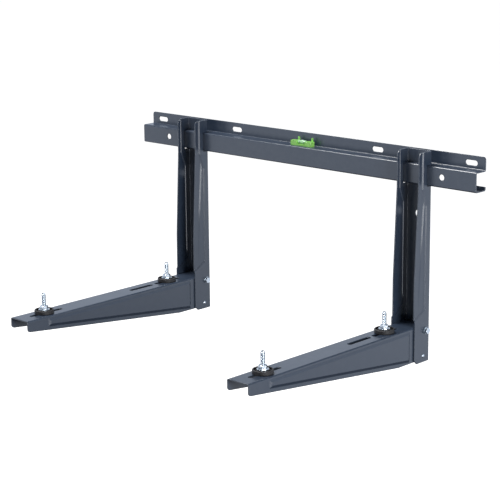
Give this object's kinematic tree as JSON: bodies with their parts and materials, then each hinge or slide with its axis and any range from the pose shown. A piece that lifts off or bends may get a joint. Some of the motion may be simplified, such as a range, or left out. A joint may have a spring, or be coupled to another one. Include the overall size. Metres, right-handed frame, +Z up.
{
  "type": "wall bracket",
  "caption": "Wall bracket: folded rail with a bubble level, hooked uprights, tapered channel arms and rubber feet with upright studs.",
  "frame": {"origin": "on the wall plane, in the middle of the rail, at the height of the rail's wall slots", "axes": "+X along the rail to the viewer's right, +Y into the wall, +Z up; the arms reach along -Y"},
  "size_m": [0.8, 0.4693, 0.3695],
  "materials": {
    "painted_steel": "semi-gloss powder coat",
    "zinc": "bright zinc plating",
    "rubber": "moulded matt rubber",
    "level_plastic": "translucent yellow-green acrylic",
    "level_vial": "clear vial"
  },
  "bodies": {
    "root": {"wall_rail": "painted_steel", "left_upright": "painted_steel", "right_upright": "painted_steel", "left_arm": "painted_steel", "right_arm": "painted_steel", "level_body": "level_plastic", "level_vial": "level_vial", "left_front_rubber_foot": "rubber", "left_rear_rubber_foot": "rubber", "right_front_rubber_foot": "rubber", "right_rear_rubber_foot": "rubber", "left_front_foot_bolt": "zinc", "left_front_inner_washer": "zinc", "left_front_washer": "zinc", "left_front_nut": "zinc", "left_rear_foot_bolt": "zinc", "left_rear_inner_washer": "zinc", "left_rear_washer": "zinc", "left_rear_nut": "zinc", "left_cross_bolt": "zinc", "left_cross_nut": "zinc", "left_cross_head_washer": "zinc", "left_cross_nut_washer": "zinc", "left_inner_rivet": "zinc", "left_outer_rivet": "zinc", "right_front_foot_bolt": "zinc", "right_front_inner_washer": "zinc", "right_front_washer": "zinc", "right_front_nut": "zinc", "right_rear_foot_bolt": "zinc", "right_rear_inner_washer": "zinc", "right_rear_washer": "zinc", "right_rear_nut": "zinc", "right_cross_bolt": "zinc", "right_cross_nut": "zinc", "right_cross_head_washer": "zinc", "right_cross_nut_washer": "zinc", "right_inner_rivet": "zinc", "right_outer_rivet": "zinc"}
  },
  "joints": []
}
